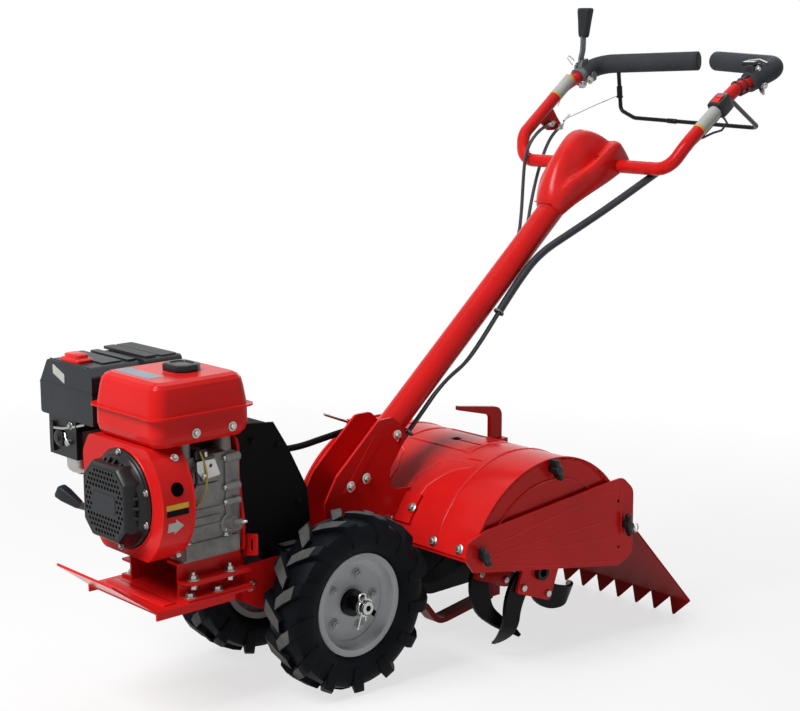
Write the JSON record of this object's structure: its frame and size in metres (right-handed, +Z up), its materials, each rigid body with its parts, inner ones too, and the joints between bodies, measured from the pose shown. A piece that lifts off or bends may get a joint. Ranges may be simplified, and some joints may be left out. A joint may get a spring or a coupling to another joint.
{
  "type": "rear-tine garden tiller",
  "caption": "Walk-behind garden tiller: engine ahead of twin wheels, hooded rear tines with a levelling comb, depth skid and a looped handlebar on a height-adjustable column.",
  "frame": {"origin": "floor point under the middle of the bounding box of the parked machine", "axes": "+X forward towards the engine, +Y to the operator's left, +Z up"},
  "size_m": [1.539, 0.5372, 1.2263],
  "materials": {
    "tyre_rubber": "matt black rubber",
    "rim_grey": "light grey paint",
    "black_steel": "satin black paint",
    "red_paint": "glossy red paint",
    "dark_red_paint": "red paint",
    "cast_aluminium": "as cast",
    "cast_iron_black": "painted black",
    "black_plastic": "matt black",
    "red_plastic": "glossy red",
    "zinc_steel": "zinc plated",
    "foam": "charcoal foam",
    "muffler_black": "heat resistant black",
    "cable_black": "black sheath"
  },
  "bodies": {
    "chassis": {"transmission_case": "cast_iron_black", "tine_drive_case": "cast_iron_black", "engine_deck": "red_paint", "engine_rails": "red_paint", "frame_side_plates": "red_paint", "crankcase": "cast_aluminium", "cylinder_block": "cast_aluminium", "blower_housing": "red_paint", "recoil_starter": "black_plastic", "starter_handle": "black_plastic", "fuel_tank": "red_paint", "fuel_cap": "black_plastic", "air_cleaner": "black_plastic", "air_cleaner_knob": "red_plastic", "carburettor": "cast_aluminium", "muffler": "muffler_black", "oil_filler": "black_plastic", "belt_back_plate": "red_paint", "belt_cover": "black_plastic", "handle_bracket": "red_paint", "control_rods": "cable_black", "tine_shroud": "red_paint", "shroud_beam": "red_paint", "shroud_ends": "red_paint", "side_shield_left": "red_paint", "side_shield_right": "red_paint", "shield_knobs": "black_plastic"},
    "left_wheel": {"left_tyre": "tyre_rubber", "left_rim": "rim_grey", "left_half_shaft": "black_steel"},
    "right_wheel": {"right_tyre": "tyre_rubber", "right_rim": "rim_grey", "right_half_shaft": "black_steel"},
    "rotor": {"rotor_shaft": "black_steel", "rotor_flanges": "red_paint", "rotor_tines": "black_steel"},
    "depth_gauge": {"depth_stake": "red_paint", "depth_skid": "dark_red_paint"},
    "comb": {"levelling_comb": "red_paint"},
    "handle": {"handle_column": "red_paint", "handlebar": "red_paint", "handlebar_grips": "foam", "handle_console": "red_plastic", "shift_lever": "zinc_steel", "lever_knob": "black_plastic", "throttle_lever": "black_plastic", "switch_box": "black_plastic", "clutch_bail": "black_steel", "left_cables": "cable_black", "right_cables": "cable_black"}
  },
  "joints": [
    {"name": "left_wheel_spin", "type": "hinge", "parent": "chassis", "child": "left_wheel", "pos_m": [0.32632, 0.13, 0.157], "axis": [0, 1, 0], "continuous": true},
    {"name": "right_wheel_spin", "type": "hinge", "parent": "chassis", "child": "right_wheel", "pos_m": [0.32632, -0.13, 0.157], "axis": [0, 1, 0], "continuous": true},
    {"name": "rotor_spin", "type": "hinge", "parent": "chassis", "child": "rotor", "pos_m": [-0.06794, 0, 0.16401], "axis": [0, 1, 0], "continuous": true},
    {"name": "handle_height", "type": "hinge", "parent": "chassis", "child": "handle", "pos_m": [0.20869, 0, 0.33817], "axis": [0, -1, 0], "range_deg": [0, 8]},
    {"name": "comb_hinge", "type": "hinge", "parent": "chassis", "child": "comb", "pos_m": [-0.29524, 0, 0.2196], "axis": [0, 1, 0], "range_deg": [0, 35]},
    {"name": "depth_slide", "type": "slide", "parent": "chassis", "child": "depth_gauge", "axis": [0.0583, 0, 0.9983], "range_m": [-0.015, 0.015]}
  ]
}
